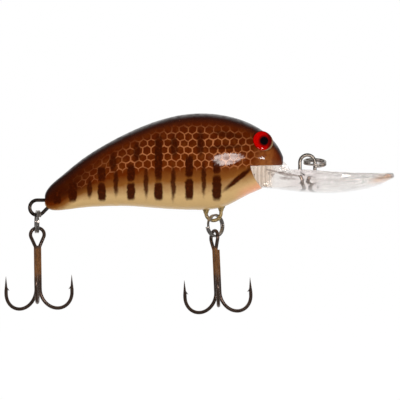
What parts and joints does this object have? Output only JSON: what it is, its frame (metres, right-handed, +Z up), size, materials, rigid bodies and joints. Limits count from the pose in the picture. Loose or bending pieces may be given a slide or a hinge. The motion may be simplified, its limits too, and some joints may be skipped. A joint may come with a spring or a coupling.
{
  "type": "crankbait lure",
  "caption": "Hollow fish-shaped fishing lure with a long clear diving lip, wire line tie, rattles inside, and treble hooks hung on split rings.",
  "frame": {"origin": "centre of the wire eye of the line tie", "axes": "+X forwards to the tip of the diving lip, +Z up to the back, +Y to the lure's left side"},
  "size_m": [0.0885, 0.0221, 0.0455],
  "materials": {
    "painted_shell": "painted under clear gloss",
    "clear_plastic": "clear moulded plastic",
    "eye_paint": "red with a black pupil, gloss",
    "hanger_wire": "dark wire",
    "split_ring_steel": "nickel plated",
    "bronzed_hook_wire": "bronzed",
    "braze": "brazed",
    "ballast_metal": "dull",
    "ball_steel": "polished"
  },
  "bodies": {
    "lure_body": {"left_body_half": "painted_shell", "right_body_half": "painted_shell", "diving_lip": "clear_plastic", "left_eye": "eye_paint", "right_eye": "eye_paint", "line_tie_wire": "hanger_wire", "belly_hanger_wire": "hanger_wire", "tail_hanger_wire": "hanger_wire", "ballast_weight": "ballast_metal"},
    "line_tie_split_ring": {"line_tie_split_ring": "split_ring_steel"},
    "belly_split_ring": {"belly_split_ring": "split_ring_steel"},
    "belly_treble": {"belly_double_hook": "bronzed_hook_wire", "belly_single_hook": "bronzed_hook_wire", "belly_hook_braze": "braze"},
    "tail_split_ring": {"tail_split_ring": "split_ring_steel"},
    "tail_treble": {"tail_double_hook": "bronzed_hook_wire", "tail_single_hook": "bronzed_hook_wire", "tail_hook_braze": "braze"},
    "rattle_ball_front": {"rattle_ball_front": "ball_steel"},
    "rattle_ball_middle": {"rattle_ball_middle": "ball_steel"},
    "rattle_ball_rear": {"rattle_ball_rear": "ball_steel"}
  },
  "joints": [
    {"name": "line_ring_swing", "type": "hinge", "parent": "lure_body", "child": "line_tie_split_ring", "pos_m": [0, 0, 0], "axis": [0, 1, 0], "range_deg": [-150, 20]},
    {"name": "belly_ring_swing", "type": "hinge", "parent": "lure_body", "child": "belly_split_ring", "pos_m": [-0.0213, 0, -0.01145], "axis": [0, 1, 0], "range_deg": [-35, 40]},
    {"name": "belly_treble_swing", "type": "hinge", "parent": "belly_split_ring", "child": "belly_treble", "pos_m": [-0.0209, 0, -0.01433], "axis": [0.7359, -0.6691, 0.1034], "range_deg": [-45, 45]},
    {"name": "tail_ring_swing", "type": "hinge", "parent": "lure_body", "child": "tail_split_ring", "pos_m": [-0.0613, 0, -0.01024], "axis": [0, 1, 0], "range_deg": [-25, 100]},
    {"name": "tail_treble_swing", "type": "hinge", "parent": "tail_split_ring", "child": "tail_treble", "pos_m": [-0.0613, 0, -0.01344], "axis": [0.9903, 0.1392, 0], "range_deg": [-60, 60]},
    {"name": "rattle_ball_front_slide", "type": "slide", "parent": "lure_body", "child": "rattle_ball_front", "axis": [-0.9986, 0, 0.0523], "range_m": [0, 0.0024]},
    {"name": "rattle_ball_middle_slide", "type": "slide", "parent": "lure_body", "child": "rattle_ball_middle", "axis": [-0.9986, 0, 0.0523], "range_m": [0, 0.0024]},
    {"name": "rattle_ball_rear_slide", "type": "slide", "parent": "lure_body", "child": "rattle_ball_rear", "axis": [-0.9986, 0, 0.0523], "range_m": [0, 0.0024]}
  ]
}
